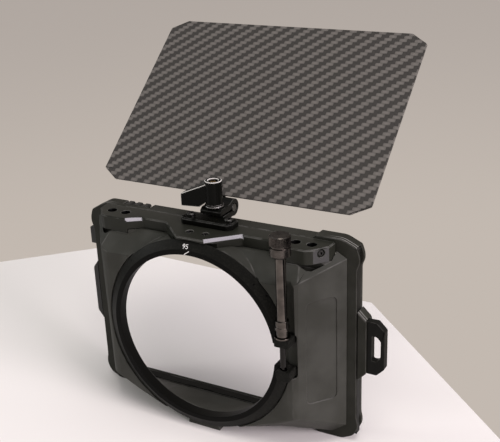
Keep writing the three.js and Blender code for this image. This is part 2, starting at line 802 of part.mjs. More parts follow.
// Shallow ramp in the plate's top along the slanted step from a block to its run
function stepRamp(side) {
  const start = new THREE.Vector2(plateBlockInner, plateBlockRear);
  const end = new THREE.Vector2(plateRunOuter, plateRunY);
  const along = end.clone().sub(start).setLength(plateRampWidth);
  const beyond = new THREE.Vector2(along.y, -along.x);
  const low = plateTop - plateRampRise;
  const high = plateTop + overrun;
  const inner = end.clone().add(beyond);
  const outer = end.clone().sub(beyond);
  const corners = [
    [start.x, start.y, plateTop], [inner.x, inner.y, plateTop], [end.x, end.y, low],
    [outer.x, outer.y, low], [start.x, start.y, high], [inner.x, inner.y, high],
    [end.x, end.y, high], [outer.x, outer.y, high],
  ].map(([x, y, z]) => new THREE.Vector3(side * x, y, z));
  return solid(new ConvexGeometry(corners));
}

function cornerFrame(side) {
  const run = new THREE.Vector2(plateChamferX - plateBlockOuter, plateChamferY - plateBlockRear);
  const place = new THREE.Vector2(plateBlockOuter, plateBlockRear);
  place.addScaledVector(run, cornerScrewPlaceShare);
  const outward = new THREE.Vector2(run.y, -run.x).normalize();
  return { x: side * place.x, y: place.y, turn: Math.atan2(outward.y, side * outward.x) };
}

// A rod whose axis is level, pointing along the corner face's outward direction
function cornerRod(side, inner, outer, radius) {
  const { x, y, turn } = cornerFrame(side);
  const geometry = new THREE.CylinderGeometry(radius, radius, outer - inner, rodSides);
  geometry.rotateZ(-Math.PI / 2).translate((inner + outer) / 2, 0, 0);
  return solid(geometry.rotateZ(turn).translate(x, y, plateTop - cornerScrewDrop));
}

function topPlate() {
  const lower = standing(softened(plateOutline(0), plateRound), plateSkirt, plateTop - plateEdge);
  const crown = standing(softened(plateOutline(plateEdge), plateRound), plateUnderside, plateTop);
  const under = block(-plateBlockInner, plateBlockInner, -overrun, frameRear + overrun,
    plateSkirt - overrun, plateUnderside);
  const ramps = [1, -1].map(stepRamp);
  const arch = rodY(0, 0, plateTongueY - overrun, housingFunnel, collarOuter + collarGroove, fineSides);
  const holes = [];
  for (const side of [-1, 1]) {
    for (const step of [0, accessoryPitch]) {
      holes.push(rodZ(side * (frameHalfWidth - accessoryInset + step), accessoryHoleY,
        plateSkirt - overrun, plateTop + overrun, accessoryHoleRadius));
    }
    holes.push(rodZ(side * plateScrewX, plateScrewY, plateUnderside - overrun, plateTop + overrun,
      plateScrewShank + seatGap));
    holes.push(rodZ(side * plateScrewX, plateScrewY, plateTop - plateScrewRecess - plateEdge,
      plateTop + overrun, plateScrewHead + seatGap));
    holes.push(rodZ(side * railScrewX, railScrewY, plateUnderside - overrun, plateTop + overrun,
      railScrewShank + seatGap));
    holes.push(cornerRod(side, -cornerScrewLength - seatGap, overrun, cornerScrewShank + seatGap));
    holes.push(cornerRod(side, -cornerScrewHead, overrun, cornerScrewHead + seatGap));
  }
  return cut(join(lower, crown), under, arch, ...ramps, ...holes);
}

function plateScrew(side) {
  const top = plateTop - edgeChamfer / 2;
  const seat = plateTop - plateScrewRecess - plateEdge + seatGap / 2;
  return turnedUp([
    [0, plateUnderside], [plateScrewShank, plateUnderside], [plateScrewShank, seat],
    [plateScrewHead, seat], [plateScrewHead, top], [plateScrewShank, top],
    [plateScrewShank, top - plateEdge], [0, top - plateEdge],
  ], side * plateScrewX, plateScrewY, rodSides / 2);
}

function cornerScrew(side) {
  const head = cornerRod(side, -cornerScrewHead + seatGap, -seatGap, cornerScrewHead);
  const shank = cornerRod(side, -cornerScrewLength, -seatGap - edgeChamfer, cornerScrewShank);
  const socket = cornerRod(side, -cornerScrewHead / 2 - seatGap, overrun, cornerScrewSocket);
  return cut(join(head, shank), socket);
}

// Flag hinge: a foot bar screwed to the plate, and a split clamp whose upper jaw the lever pulls down
const railHalf = 15.7;
const railRear = 16.5;
const railDepth = 10;
const railHeight = 3.5;
const railBevel = 2.6;
const railScrewX = 11.5;
const railScrewY = 22.6;
const railScrewHead = 2.4;
const railScrewShank = 1.4;
const jawHalf = 6.3;
const jawRear = 23.5;
const jawSlit = 1.1;
const jawLip = 1.9;
const jawTop = 3.4;
const jawBevel = 2;
const jawHeelShare = 0.7;
const jawToeShare = 0.9;
const knuckleRadius = 4.75;
const knuckleBore = 2.4;
const hingePinRadius = 2.1;
const leverY = 28;
const leverWasherRadius = 5.2;
const leverWasherThickness = 0.8;
const leverScrewShank = 1.5;

const railBottom = plateTop + seatGap;
const railTop = plateTop + railHeight;
const upperJawBottom = railTop + jawSlit;
const upperJawTop = upperJawBottom + jawTop;

function railOutline(inset) {
  const half = railHalf - inset;
  const rear = railRear + inset;
  const front = railRear + railDepth - inset;
  const bevel = railBevel - inset;
  return softened([
    [-half, rear + bevel], [-half + bevel, rear], [half - bevel, rear], [half, rear + bevel],
    [half, front - bevel / 2], [half - bevel / 2, front], [-half + bevel / 2, front],
    [-half, front - bevel / 2],
  ], edgeChamfer);
}

function hingeBase() {
  const railFront = railRear + railDepth;
  const foot = join(standing(railOutline(0), railBottom, railTop - edgeChamfer),
    standing(railOutline(edgeChamfer), railBottom, railTop));
  const lowerJaw = sideways([
    [railFront - railBevel, railBottom], [hingeY - knuckleRadius * jawHeelShare, railBottom],
    [hingeY, hingeZ - knuckleRadius * jawToeShare], [hingeY, railTop], [railFront - railBevel, railTop],
  ], -jawHalf, jawHalf);
  const upperJaw = sideways([
    [jawRear, upperJawBottom], [hingeY, upperJawBottom], [hingeY, hingeZ + knuckleRadius],
    [leverY + leverWasherRadius, upperJawTop], [jawRear + jawBevel, upperJawTop],
    [jawRear, upperJawBottom + jawLip],
  ], -jawHalf, jawHalf);
  const knuckle = rodX(hingeY, hingeZ, seatGap / 2, jawHalf, knuckleRadius, rodSides * 2);
  const bore = rodX(hingeY, hingeZ, -jawHalf - overrun, jawHalf + overrun, knuckleBore);
  const barrelRoom = rodX(hingeY, hingeZ, -jawHalf - overrun, seatGap / 2,
    knuckleRadius + seatGap * 2, rodSides * 2);
  const barrelPath = block(-jawHalf - overrun, seatGap / 2, hingeY - knuckleRadius / 2,
    hingeY + knuckleRadius + overrun, railBottom - overrun, hingeZ + knuckleRadius + overrun);
  const slit = block(-jawHalf - overrun, jawHalf + overrun, railFront, hingeY, railTop, upperJawBottom);
  const leverHole = rodZ(0, leverY, railBottom - overrun, upperJawTop + overrun,
    leverScrewShank + seatGap);
  const screws = [1, -1].map((side) => rodZ(side * railScrewX, railScrewY, railBottom - overrun,
    railTop + overrun, railScrewShank + seatGap));
  const body = join(foot, lowerJaw, upperJaw, knuckle);
  return cut(body, bore, barrelRoom, barrelPath, slit, leverHole, ...screws);
}

function railScrew(side) {
  return turnedUp([
    [0, plateUnderside], [railScrewShank, plateUnderside], [railScrewShank, railTop + seatGap],
    [railScrewHead, railTop + seatGap], [railScrewHead, railTop + seatGap + edgeChamfer],
    [railScrewHead - edgeChamfer / 2, railTop + edgeChamfer * 2],
    [railScrewShank / 2, railTop + edgeChamfer * 2], [railScrewShank / 2, railTop + edgeChamfer],
    [0, railTop + edgeChamfer],
  ], side * railScrewX, railScrewY, rodSides / 2);
}

// Clamp lever: a hub on an upright screw and a blade that reaches left
const leverHubRadius = 4.6;
const leverHeight = 13.2;
const leverTipX = -18.4;
const leverTipTop = 4.5;
const leverTipBottom = 2.5;
const leverKneeX = -3.4;
const leverKneeDrop = 2.1;
const leverCutX = -7.1;
const leverCutBottom = 1.7;
const leverCutTopX = -1.4;
const leverCutTop = 3.5;
const leverBladeRear = 24.2;
const leverBladeDepth = 5.4;
const leverHeadRadius = 2.4;
const leverHeadSink = 1.2;
const leverHeadHeight = 1.6;
const leverSocket = 1.1;

const leverSeat = upperJawTop + 2 * seatGap + leverWasherThickness;
const leverTop = leverSeat + leverHeight;

function clampLever() {
  const hub = rodZ(0, leverY, leverSeat, leverTop, leverHubRadius, rodSides * 2);
  const blade = facing(softened([
    [leverTipX, leverSeat - leverTipBottom], [leverCutX, leverSeat - leverCutBottom],
    [leverCutTopX, leverSeat + leverCutTop], [0, leverSeat + leverCutTop], [0, leverTop - seatGap * 2],
    [leverKneeX, leverTop - leverKneeDrop], [leverTipX, leverSeat + leverTipTop],
  ], edgeChamfer), leverBladeRear, leverBladeRear + leverBladeDepth);
  const well = rodZ(0, leverY, leverTop - leverHeadSink - leverHeadHeight, leverTop + overrun,
    leverHeadRadius + seatGap);
  const bore = rodZ(0, leverY, leverSeat - overrun, leverTop, leverScrewShank + seatGap);
  return cut(join(hub, blade), well, bore);
}

function leverScrew() {
  const seat = leverTop - leverHeadSink - leverHeadHeight + seatGap;
  return turnedUp([
    [0, railBottom + seatGap], [leverScrewShank, railBottom + seatGap], [leverScrewShank, seat],
    [leverHeadRadius, seat], [leverHeadRadius, leverTop - leverHeadSink],
    [leverSocket, leverTop - leverHeadSink], [leverSocket, leverTop - leverHeadSink - edgeChamfer],
    [0, leverTop - leverHeadSink - edgeChamfer],
  ], 0, leverY);
}

function leverWasher() {
  const bottom = upperJawTop + seatGap;
  return cut(rodZ(0, leverY, bottom, bottom + leverWasherThickness, leverWasherRadius, rodSides * 2),
    rodZ(0, leverY, bottom - overrun, bottom + overrun, leverScrewShank + seatGap));
}

// Flag: a carbon sheet on a small bracket. These pieces lie in the hinge's own frame, where y runs up the
// sheet and z stands square to it, and one group tilts them.
const sheetStart = 4.3;
const sheetLift = 2.82;
const sheetThickness = 1;
const sheetCornerX = 10;
const sheetCornerY = 6.3;
const bracketLeft = -17.5;
const bracketRight = -0.6;
const bracketArmLeft = -jawHalf;
const bracketThickness = 1.7;
const bracketEnd = 14;
const flagScrewX = -13.4;
const flagScrewPitch = 8.2;
const flagScrewY = 9.4;
const flagScrewHead = 2.2;
const flagScrewShank = 1.2;
const flagScrewRise = 0.9;
const flagNut = 2.2;
const flagNutHeight = 1.6;
const nutSides = 6;

function flagScrews() {
  return [flagScrewX, flagScrewX + flagScrewPitch];
}

function flagSheet() {
  const half = flagWidth / 2;
  const top = sheetStart + flagLength;
  const outline = [
    [-half + sheetCornerX, sheetStart], [half - sheetCornerX, sheetStart],
    [half, sheetStart + sheetCornerY], [half, top - sheetCornerY],
    [half - sheetCornerX, top], [-half + sheetCornerX, top],
    [-half, top - sheetCornerY], [-half, sheetStart + sheetCornerY],
  ];
  const sheet = standing(softened(outline, plateRound), sheetLift, sheetLift + sheetThickness);
  const holes = flagScrews().map((x) => rodZ(x, flagScrewY, sheetLift - overrun,
    sheetLift + sheetThickness + overrun, flagScrewShank + seatGap));
  return cut(sheet, ...holes);
}

function flagBracket() {
  const top = sheetLift - seatGap;
  const barrel = rodX(0, 0, bracketArmLeft, -seatGap / 2 - seatGap, knuckleRadius, rodSides * 2);
  const arm = block(bracketArmLeft, bracketRight, 0, sheetStart + edgeChamfer, top - bracketThickness, top);
  const plate = standing(softened(
    rectangle(bracketLeft, bracketRight, sheetStart + edgeChamfer / 2, bracketEnd), plateRound),
  top - bracketThickness, top);
  const above = block(bracketArmLeft - overrun, bracketRight + overrun, sheetStart - edgeChamfer,
    knuckleRadius + overrun, top, knuckleRadius + overrun);
  const bore = rodX(0, 0, bracketArmLeft - overrun, overrun, knuckleBore);
  const holes = flagScrews().map((x) => rodZ(x, flagScrewY, top - bracketThickness - overrun,
    top + overrun, flagScrewShank + seatGap));
  return cut(join(barrel, arm, plate), above, bore, ...holes);
}

function hingePin() {
  return rodX(0, 0, bracketArmLeft, jawHalf, hingePinRadius);
}

function flagScrew(x) {
  const under = sheetLift - seatGap - bracketThickness;
  const seat = sheetLift + sheetThickness + seatGap;
  return turnedUp([
    [0, under - flagNutHeight - seatGap], [flagScrewShank, under - flagNutHeight - seatGap],
    [flagScrewShank, seat], [flagScrewHead, seat], [flagScrewHead - edgeChamfer, seat + flagScrewRise],
    [0, seat + flagScrewRise],
  ], x, flagScrewY, rodSides / 2);
}

function flagNuts(x) {
  const top = sheetLift - seatGap - bracketThickness - seatGap;
  return cut(rodZ(x, flagScrewY, top - flagNutHeight, top, flagNut, nutSides),
    rodZ(x, flagScrewY, top - flagNutHeight - overrun, top + overrun, flagScrewShank + seatGap));
}

// Rear foot: a pad under the collar that levels the box on a table
const footHalfWidth = 10;
const footRearY = 4.2;
const footFrontY = 12.2;
const footStem = 6;
const footStemShare = 0.45;

function rearFoot() {
  const sole = -axisHeight;
  const neck = Math.min(housingBase(footFrontY), -collarNeck) - seatGap;
  const shoulder = sole + (neck - sole) * footStemShare;
  const outline = [
    [-footHalfWidth, sole], [footHalfWidth, sole], [footHalfWidth, shoulder], [footStem, neck],
    [-footStem, neck], [-footHalfWidth, shoulder],
  ];
  return facing(outline, footRearY, footFrontY);
}

// Assembly
const flag = new THREE.Group();
flag.add(
  piece('flag_sheet', flagSheet(), carbon),
  piece('flag_bracket', flagBracket(), leverBlack),
  piece('hinge_pin', hingePin(), burnished),
);
flagScrews().forEach((x, i) => {
  flag.add(piece(`flag_screw_${i + 1}`, flagScrew(x), screwSteel));
  flag.add(piece(`flag_nut_${i + 1}`, flagNuts(x), screwSteel));
});
flag.position.set(0, hingeY, hingeZ);
flag.rotation.x = THREE.MathUtils.degToRad(flagTilt);

const box = new THREE.Group();
box.add(
  piece('rear_housing', rearHousing(), charcoal),
  piece('front_frame', frontFrame(), charcoal),
  piece('clamp_collar', clampCollar(), collarBlack),
  piece('clamp_screw', clampScrew(), burnished),
  piece('screw_knob', screwKnob(), burnished),
  piece('clamp_washer', clampWasher(), screwSteel),
  piece('top_plate', topPlate(), plateBlack),
  piece('plate_screw_left', plateScrew(-1), screwSteel),
  piece('plate_screw_right', plateScrew(1), screwSteel),
  piece('corner_screw_left', cornerScrew(-1), screwSteel),
  piece('corner_screw_right', cornerScrew(1), screwSteel),
  piece('hinge_base', hingeBase(), leverBlack),
  piece('rail_screw_left', railScrew(-1), screwSteel),
  piece('rail_screw_right', railScrew(1), screwSteel),
  piece('clamp_lever', clampLever(), leverBlack),
  piece('lever_screw', leverScrew(), brass),
  piece('lever_washer', leverWasher(), screwSteel),
  piece('filter_tray', filterTray(), plateBlack),
  piece('tray_end_block', trayEndBlock(), charcoal),
  piece('tray_release_button', trayReleaseButton(), collarBlack),
  piece('button_spring', buttonSpring(), springSteel),
  piece('slot_cap', slotCap(), collarBlack),
  piece('tray_lock_slide', trayLockSlide(), collarBlack),
  piece('rear_foot', rearFoot(), charcoal),
  flag,
);
box.position.set(0, -(footRearY + footFrontY) / 2, axisHeight);

const part = new THREE.Group();
part.add(box);

export default part;
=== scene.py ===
"""Matte box with a carbon top flag: the looks of its pieces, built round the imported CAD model."""
import math

import bmesh
import bpy
from mathutils import Matrix, Vector
from mathutils.bvhtree import BVHTree


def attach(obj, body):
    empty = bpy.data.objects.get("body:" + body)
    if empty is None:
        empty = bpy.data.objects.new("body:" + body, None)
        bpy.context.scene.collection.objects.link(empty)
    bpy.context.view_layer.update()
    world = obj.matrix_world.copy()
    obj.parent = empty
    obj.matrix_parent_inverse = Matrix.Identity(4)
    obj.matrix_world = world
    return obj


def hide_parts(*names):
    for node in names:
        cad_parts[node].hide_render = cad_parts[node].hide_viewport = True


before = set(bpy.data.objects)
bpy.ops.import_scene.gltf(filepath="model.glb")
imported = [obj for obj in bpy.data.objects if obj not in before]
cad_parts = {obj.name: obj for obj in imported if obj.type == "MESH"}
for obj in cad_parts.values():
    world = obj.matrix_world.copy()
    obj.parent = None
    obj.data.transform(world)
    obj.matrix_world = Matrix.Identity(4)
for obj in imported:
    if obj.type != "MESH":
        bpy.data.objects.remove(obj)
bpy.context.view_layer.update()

# Rear housing: one moulding of glass-filled nylon with a fine matt grain. Its long edges leave the
# mould rounded, and handling has polished them paler in patches; that paleness also carries a
# painted highlight, strongest on edges that face up. The classes for shaders and the functions
# that round a CAD piece's edges stand here, because every later section uses them.
MM = 0.001
LENS_AXIS = Vector((0, -8.2, 58)) * MM


class Wire:
    """A node's socket that takes part in arithmetic: each operator adds its Math node."""

    def __init__(self, nodes, socket):
        self.nodes = nodes
        self.socket = socket

    def reckon(self, operation, *terms):
        return self.nodes.node("ShaderNodeMath", {"operation": operation}, dict(enumerate(terms)))

    def __add__(self, other):
        return self.reckon("ADD", self, other)

    def __sub__(self, other):
        return self.reckon("SUBTRACT", self, other)

    def __rsub__(self, other):
        return self.reckon("SUBTRACT", other, self)

    def __mul__(self, other):
        return self.reckon("MULTIPLY", self, other)

    def __truediv__(self, other):
        return self.reckon("DIVIDE", self, other)

    def __pow__(self, other):
        return self.reckon("POWER", self, other)

    def __mod__(self, other):
        return self.reckon("FLOORED_MODULO", self, other)

    def __lt__(self, other):
        return self.reckon("LESS_THAN", self, other)

    def __abs__(self):
        return self.reckon("ABSOLUTE", self)

    __radd__ = __add__
    __rmul__ = __mul__

    def floor(self):
        return self.reckon("FLOOR", self)

    def sine(self):
        return self.reckon("SINE", self)

    def smooth(self, low, high):
        """A soft step from 0 at the low value to 1 at the high one."""
        settings = {"interpolation_type": "SMOOTHSTEP"}
        return self.nodes.node("ShaderNodeMapRange", settings, {0: self, 1: low, 2: high})

    def sway(self, depth):
        """A noise turned into a swing about nought, this deep from end to end."""
        return (self - 0.5) * depth


class Nodes:
    """A node tree that grows by one node at a time: its type, its settings and its sockets."""

    def __init__(self, tree):
        self.tree = tree

    def feed(self, socket, value):
        if isinstance(value, Wire):
            self.tree.links.new(value.socket, socket)
        else:
            socket.default_value = value

    def node(self, kind, settings=None, sockets=None, output=0):
        """A new node's output. A list gives one socket several wires."""
        made = self.tree.nodes.new(kind)
        for name, value in (settings or {}).items():
            setattr(made, name, value)
        for key, value in (sockets or {}).items():
            for source in value if isinstance(value, list) else [value]:
                self.feed(made.inputs[key], source)
        return Wire(self, made.outputs[output])

    def parts(self, vector):
        return [self.node("ShaderNodeSeparateXYZ", {}, {0: vector}, axis) for axis in "XYZ"]

    def mix(self, share, first, second):
        sockets = {0: share, 6: first, 7: second}
        return self.node("ShaderNodeMix", {"data_type": "RGBA"}, sockets, output=2)


class Finish(Nodes):
    """A surface finish: one Principled shader and the nodes that feed it."""

    def __init__(self, name, **fixed):
        self.material = bpy.data.materials.new(name)
        self.material.use_nodes = True
        super().__init__(self.material.node_tree)
        self.shader = self.tree.nodes["Principled BSDF"]
        self.set(**fixed)

    def set(self, **sockets):
        """Feeds sockets of the shader, such as base_color for Base Color."""
        for name, value in sockets.items():
            label = name.replace("_", " ").title().replace("Ior", "IOR")
            self.feed(self.shader.inputs[label], value)

    def place(self):
        return self.node("ShaderNodeTexCoord", output="Object")

    def noise(self, scale, detail=2, vector=None):
        sockets = {"Vector": vector or self.place(), "Scale": scale, "Detail": detail}
        return self.node("ShaderNodeTexNoise", {}, sockets)

    def attribute(self, name):
        return self.node("ShaderNodeAttribute", {"attribute_name": name}, output="Fac")

    def worn_and_highlit_edges(self, scale, low, high):
        """The rounded edges, worn in the patches of a noise, where their attribute also holds a
        painted highlight.
        """
        return self.attribute("edge") * self.noise(scale).smooth(low, high)

    def paint_over(self, share, colour):
        """A further colour over what the shader has so far, where the share is above nought."""
        under = Wire(self, self.shader.inputs["Base Color"].links[0].from_socket)
        self.set(base_color=self.mix(share, under, colour))

    def bump(self, height, distance, strength):
        sockets = {"Strength": strength, "Distance": distance, "Height": height}
        self.set(normal=self.node("ShaderNodeBump", {}, sockets))


NYLON = (0.026, 0.026, 0.021, 1)
NYLON_PALE = (0.040, 0.040, 0.034, 1)
NYLON_WORN = (0.105, 0.102, 0.095, 1)
NYLON_GRAIN = 2200
NYLON_CLOUD = 55
NYLON_CLOUDY = (0.35, 0.7)
NYLON_WEAR = 140
HOUSING_PATCHES = (0.38, 0.62)


def housing_nylon():
    """Matt glass-filled nylon: cloudy in tone, finely grained, its rounded edges worn in places and
    painted with a highlight.
    """
    finish = Finish("housing_nylon", specular_ior_level=0.15)
    cloud = finish.noise(NYLON_CLOUD, detail=3)
    grain = finish.noise(NYLON_GRAIN, detail=3)
    rubbed_and_lit = finish.worn_and_highlit_edges(NYLON_WEAR, *HOUSING_PATCHES)
    finish.set(base_color=finish.mix(cloud.smooth(*NYLON_CLOUDY), NYLON, NYLON_PALE))
    finish.paint_over(rubbed_and_lit * 0.6, NYLON_WORN)
    finish.set(roughness=0.55 + grain.sway(0.18) + cloud.sway(0.12) - rubbed_and_lit * 0.10)
    finish.bump(grain, distance=0.02 * MM, strength=0.5)
    return finish.material


MERGE = 0.02 * MM
FLAT_TURN = math.radians(0.6)


def merged(mesh, within=MERGE):
    """A mesh's shape with its loose triangles joined at their corners."""
    solid = bmesh.new()
    solid.from_mesh(mesh)
    bmesh.ops.remove_doubles(solid, verts=solid.verts, dist=within)
    return solid


def added(name, data):
    """A new object of the scene, at the origin."""
    new = bpy.data.objects.new(name, data)
    bpy.context.scene.collection.objects.link(new)
    return new


def mesh_piece(name, solid, *materials):
    """A piece of the scene from a finished bmesh."""
    mesh = bpy.data.meshes.new(name)
    solid.to_mesh(mesh)
    solid.free()
    for material in materials:
        mesh.materials.append(material)
    return added(name, mesh)


def final_mesh(thing):
    """The mesh that an object comes to with its modifiers, or that a text makes."""
    graph = bpy.context.evaluated_depsgraph_get()
    return bpy.data.meshes.new_from_object(thing.evaluated_get(graph))


def applied(piece):
    """The piece with its modifiers made part of its mesh."""
    mesh = final_mesh(piece)
    piece.modifiers.clear()
    piece.data = mesh
    return piece


def clean_solid(node, cutters, whole):
    """The CAD node's own solid, cut where asked, with its flat faces made whole.

    A face with a hollow in its outline is split again, because it bevels badly, unless it is asked
    to stay whole.
    """
    solid = merged(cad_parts[node].data)
    if cutters:
        blank = mesh_piece("blank", solid)
        for cutter in cutters:
            blank.modifiers.new("cut", "BOOLEAN").object = cutter
        solid = merged(applied(blank).data)
        for spent in (blank, *cutters):
            bpy.data.objects.remove(spent)
    bmesh.ops.dissolve_limit(solid, angle_limit=FLAT_TURN, verts=solid.verts, edges=solid.edges)
    bare = bmesh.new()
    fresh = {}
    for face in solid.faces:
        for vertex in face.verts:
            fresh[vertex] = fresh.get(vertex) or bare.verts.new(vertex.co)
        bare.faces.new([fresh[vertex] for vertex in face.verts])
    solid.free()
    bare.normal_update()
    if not whole:
        hollow = [face for face in bare.faces if not all(loop.is_convex for loop in face.loops)]
        bmesh.ops.triangulate(bare, faces=hollow, quad_method="BEAUTY", ngon_method="BEAUTY")
    return bare


CHAMFER_WIDTH = 0.8 * MM
CHAMFER_TURNS = (math.radians(30), math.radians(60))
SHARP_TURN = math.radians(50)
FACET_TURN = math.radians(22)
FACET_REACH = 1.5 * MM
ROOM_SHARE = 0.38
STRAY_SHARE = 0.35


def is_chamfer(face):
    """Whether a face is a narrow strip that breaks a corner."""
    width = 2 * face.calc_area() / face.calc_perimeter()
    turns = [line.calc_face_angle_signed(0) for line in face.edges if line.calc_length() > width]
    low, high = CHAMFER_TURNS
    return width < CHAMFER_WIDTH and sum(low < turn < high for turn in turns) >= 2


def reach(face, line):
    """How far a face runs from one of its edges."""
    start, end = (vertex.co for vertex in line.verts)
    along = (end - start).normalized()
    return max((v.co - start - along * (v.co - start).dot(along)).length for v in face.verts)


def bevel_share(line, edge):
    """How much of the full rounding an edge gets: less where its faces are narrow, none if flat."""
    turn = line.calc_face_angle_signed(0)
    room = min(reach(face, line) for face in line.link_faces)
    corner = abs(turn) > SHARP_TURN or (turn > FACET_TURN and room > FACET_REACH)
    return min(1, ROOM_SHARE * room / edge) if corner else 0


EDGE_UNDER = 0.25


def mark_wear_and_highlight(piece):
    """The attribute that says how much each rounded strip is worn and lit: most above, less below.

    The lit share is a painted highlight. A strip that looks inwards and forwards, down the funnel,
    gets neither wear nor highlight and keeps its tone.
    """
    strips = piece.data.attributes.new("edge", "FLOAT", "FACE")
    for face, strip in zip(piece.data.polygons, strips.data):
        outward = (face.center - LENS_AXIS) * Vector((1, 0, 1))
        in_funnel_shade = face.normal.y > 0 > face.normal.dot(outward)
        worn_and_lit = face.material_index and not in_funnel_shade
        # Painted highlight: strips that face up get all the paleness, those that face down a
        # quarter.
        strip.value = worn_and_lit * (EDGE_UNDER + (1 - EDGE_UNDER) * max(0, face.normal.z))
        face.material_index = 0
    piece.data.materials.pop()


def standing_for(piece, node, body):
    """The piece rides on its body and shows in place of its CAD node, which is hidden."""
    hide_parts(node)
    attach(piece, body)
    return piece


FLAT_WEIGHT = 70


def rounded(node, body, material, edge, steps=2, cutters=(), whole=False):
    """The CAD node's shape with its corners rounded and its worn, highlit strips marked."""
    solid = clean_solid(node, cutters, whole)
    weight = solid.edges.layers.float.new("bevel_weight_edge")
    for line in solid.edges:
        line[weight] = bevel_share(line, edge)
    for face in solid.faces:
        face.smooth = True
        face.material_index = is_chamfer(face)
    shell = BVHTree.FromBMesh(solid)
    piece = mesh_piece(f"{node}_surface", solid, material, material)
    bevel = piece.modifiers.new("edges", "BEVEL")
    bevel.limit_method = "WEIGHT"
    bevel.width = edge
    bevel.segments = steps
    bevel.material = 1
    bevel.use_clamp_overlap = False
    bevel.loop_slide = False
    applied(piece)
    for vertex in piece.data.vertices:
        nearest, _, _, gone = shell.find_nearest(vertex.co)
        if gone > STRAY_SHARE * edge:
            vertex.co = nearest
    level = piece.modifiers.new("normals", "WEIGHTED_NORMAL")
    level.mode = "FACE_AREA"
    level.weight = FLAT_WEIGHT
    mark_wear_and_highlight(applied(piece))
    return standing_for(piece, node, body)


MOULDED_EDGE = 0.4 * MM
nylon = housing_nylon()
rounded("rear_housing", "box", nylon, MOULDED_EDGE)

# Front frame: a bumper of the same nylon round the slot for the filter tray, moulded in two halves,
# so fine parting lines run round its outside, polished pale at its sides. The tray's end block and
# the foot under the collar are moulded alike.
FRAME_NYLON = (0.015, 0.015, 0.011, 1)
FRAME_PALE = (0.025, 0.025, 0.020, 1)
FRAME_PATCHES = (0.34, 0.60)
PARTING_LINES = (19.6 * MM, 21.4 * MM)
PARTING_HALF = 0.28 * MM
SEAM = (0.22, 0.215, 0.20, 1)
SEAM_POLISHED = 69 * MM


def frame_nylon():
    """The housing's nylon in a darker tone, with the two ridges that the mould's parting left."""
    finish = Finish("frame_nylon", specular_ior_level=0.12)
    across, along, _ = finish.parts(finish.place())
    cloud = finish.noise(NYLON_CLOUD, detail=3)
    grain = finish.noise(NYLON_GRAIN, detail=3)
    rubbed_and_lit = finish.worn_and_highlit_edges(NYLON_WEAR, *FRAME_PATCHES)
    seams = sum(1 - (abs(along - line) / PARTING_HALF).smooth(0.55, 1) for line in PARTING_LINES)
    finish.set(base_color=finish.mix(cloud.smooth(*NYLON_CLOUDY), FRAME_NYLON, FRAME_PALE))
    finish.paint_over(seams * (abs(across) / SEAM_POLISHED).smooth(0.9, 1.1), SEAM)
    finish.paint_over(rubbed_and_lit * 0.7, NYLON_WORN)
    finish.set(roughness=0.5 + grain.sway(0.18) + cloud.sway(0.12))
    finish.bump(grain * 0.3 + seams, distance=0.05 * MM, strength=0.6)
    return finish.material


bumper = frame_nylon()
rounded("front_frame", "box", bumper, MOULDED_EDGE, steps=3)
rounded("tray_end_block", "tray", bumper, MOULDED_EDGE)
rounded("rear_foot", "box", nylon, MOULDED_EDGE)

# Clamp collar: a split ring of turned aluminium, sprayed satin black. It carries the plain bore
# number and an index tick, printed in white, and three punch marks in its cone.
TURNED_EDGE = 0.22 * MM
SATIN_WORN = (0.09, 0.088, 0.08, 1)
SATIN_FINE = 1500
SATIN_CLOUD = 85
SATIN_WEAR = 190
SATIN_FADE = 0.24


def satin_black(name, colour, rough, worn=SATIN_WORN, rub=0.5, sheen=0.3, patchy=0.36):
    """Sprayed or anodised black over metal: faintly mottled, its rounded edges worn paler with a
    painted highlight.
    """
    finish = Finish(name, specular_ior_level=sheen)
    fine = finish.noise(SATIN_FINE)
    cloud = finish.noise(SATIN_CLOUD, detail=3)
    rubbed_and_lit = finish.worn_and_highlit_edges(SATIN_WEAR, patchy, patchy + SATIN_FADE)
    finish.set(base_color=finish.mix(rubbed_and_lit * rub, colour, worn))
    finish.set(roughness=rough + cloud.sway(0.16) + fine.sway(0.12) - rubbed_and_lit * 0.08)
    finish.bump(fine, distance=0.012 * MM, strength=0.4)
    return finish


def apart(across, up):
    """The straight distance that two distances at right angles make."""
    return (across ** 2 + up ** 2) ** 0.5


COLLAR_BLACK = (0.007, 0.007, 0.006, 1)
COLLAR_SPECK = (0.012, 0.012, 0.010, 1)
COLLAR_SPECKLE = 1100
COLLAR_FLAT = 50.3 * MM
LAND_BLACK = (0.003, 0.003, 0.0025, 1)
PUNCH_MARKS = ((-37.2, 37.6), (36.6, 37.9), (43.3, 32.7))
PUNCH_RADIUS = 0.55 * MM
PAINTED_SHADE_BLACK = (0.001, 0.001, 0.001, 1)


def collar_finish():
    """Speckled spray on the cone, painted shade in its punch marks, a blacker flat land round the
    bore.
    """
    finish = satin_black("collar_black", COLLAR_BLACK, rough=0.42, sheen=0.05)
    across, _, up = finish.parts(finish.place())
    up = up - LENS_AXIS.z
    land = 1 - (apart(across, up) / COLLAR_FLAT).smooth(0.999, 1.001)
    gone = [apart(across - x * MM, up - z * MM) for x, z in PUNCH_MARKS]
    punched = sum(1 - (far / PUNCH_RADIUS).smooth(0.6, 1) for far in gone)
    speckle = finish.noise(COLLAR_SPECKLE)
    finish.set(base_color=finish.mix(speckle.smooth(0.42, 0.72), COLLAR_BLACK, COLLAR_SPECK))
    # Painted shade: the punch marks' dimples are painted near black.
    finish.paint_over(punched, PAINTED_SHADE_BLACK)
    finish.paint_over(land, LAND_BLACK)
    finish.bump(speckle * 0.06 - punched, distance=0.25 * MM, strength=0.8)
    return finish.material


rounded("clamp_collar", "box", collar_finish(), TURNED_EDGE)

